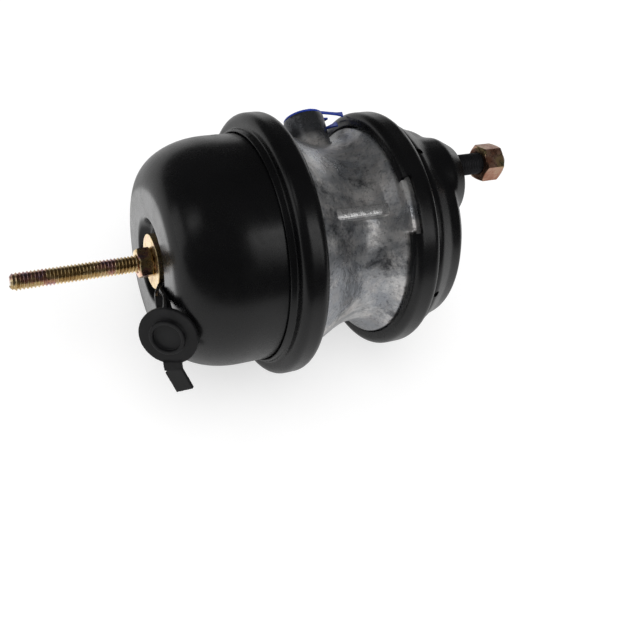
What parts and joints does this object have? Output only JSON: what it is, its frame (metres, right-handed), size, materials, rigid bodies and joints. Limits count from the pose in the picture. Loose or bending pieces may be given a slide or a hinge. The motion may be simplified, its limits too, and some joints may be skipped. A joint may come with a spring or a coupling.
{
  "type": "air brake chamber",
  "caption": "Double-diaphragm spring brake chamber with clamp rings, cast centre body, mounting studs, release bolt and dust plug.",
  "frame": {"origin": "centre of the mounting face, midway between the two studs", "axes": "+X along the push rod, out of the mounting face; +Z along the line of the studs; the air ports point toward +Y"},
  "size_m": [0.3541, 0.187, 0.187],
  "materials": {
    "black_paint": "gloss",
    "cast_alloy": "as cast",
    "plain_steel": "satin",
    "dark_steel": "phosphated",
    "bronze_zinc": "iridescent zinc",
    "yellow_zinc": "iridescent zinc",
    "spring_steel": "satin",
    "black_rubber": "matte",
    "bush_plastic": "matte",
    "blue_plastic": "satin"
  },
  "bodies": {
    "housing": {"spring_housing": "black_paint", "spring_clamp_ring": "black_paint", "flange_casting": "cast_alloy", "service_clamp_ring": "black_paint", "service_housing": "black_paint", "stud_plate": "plain_steel", "mounting_studs": "dark_steel", "stud_nuts": "bronze_zinc", "release_washer": "yellow_zinc", "spring_port_plug": "blue_plastic", "service_port_plug": "blue_plastic", "power_spring": "spring_steel", "parking_diaphragm": "black_rubber", "adapter_return_spring": "spring_steel", "centre_bush": "bush_plastic", "rod_seals": "black_rubber", "bush_retainer": "plain_steel", "service_diaphragm": "black_rubber", "service_return_spring": "spring_steel", "push_rod_boot": "black_rubber", "boot_ring": "plain_steel"},
    "parking_carriage": {"release_bolt": "yellow_zinc", "spring_plate": "plain_steel", "adapter_plate": "plain_steel", "adapter_rod": "plain_steel", "adapter_pad": "plain_steel"},
    "service_carriage": {"push_plate": "plain_steel", "push_rod": "plain_steel"},
    "release_nut": {"release_nut": "yellow_zinc"},
    "dust_plug": {"dust_plug": "black_rubber"}
  },
  "joints": [
    {"name": "parking_stroke", "type": "slide", "parent": "housing", "child": "parking_carriage", "axis": [1, 0, 0], "range_m": [0, 0.057], "deforming": ["power_spring", "parking_diaphragm", "adapter_return_spring"]},
    {"name": "service_stroke", "type": "slide", "parent": "housing", "child": "service_carriage", "axis": [1, 0, 0], "range_m": [0, 0.057], "deforming": ["service_diaphragm", "service_return_spring", "push_rod_boot"]},
    {"name": "release_nut_turn", "type": "hinge", "parent": "housing", "child": "release_nut", "pos_m": [-0.225, 0, 0], "axis": [1, 0, 0], "range_deg": [-8740, 0]},
    {"name": "dust_plug_swing", "type": "hinge", "parent": "housing", "child": "dust_plug", "pos_m": [-0.2136, 0, 0], "axis": [1, 0, 0], "range_deg": [-60, 60]}
  ],
  "couplings": [
    {"joint": "service_stroke", "follows": "parking_stroke", "ratio": 1},
    {"joint": "release_nut_turn", "follows": "parking_stroke", "rad_per_m": -2673.7}
  ]
}
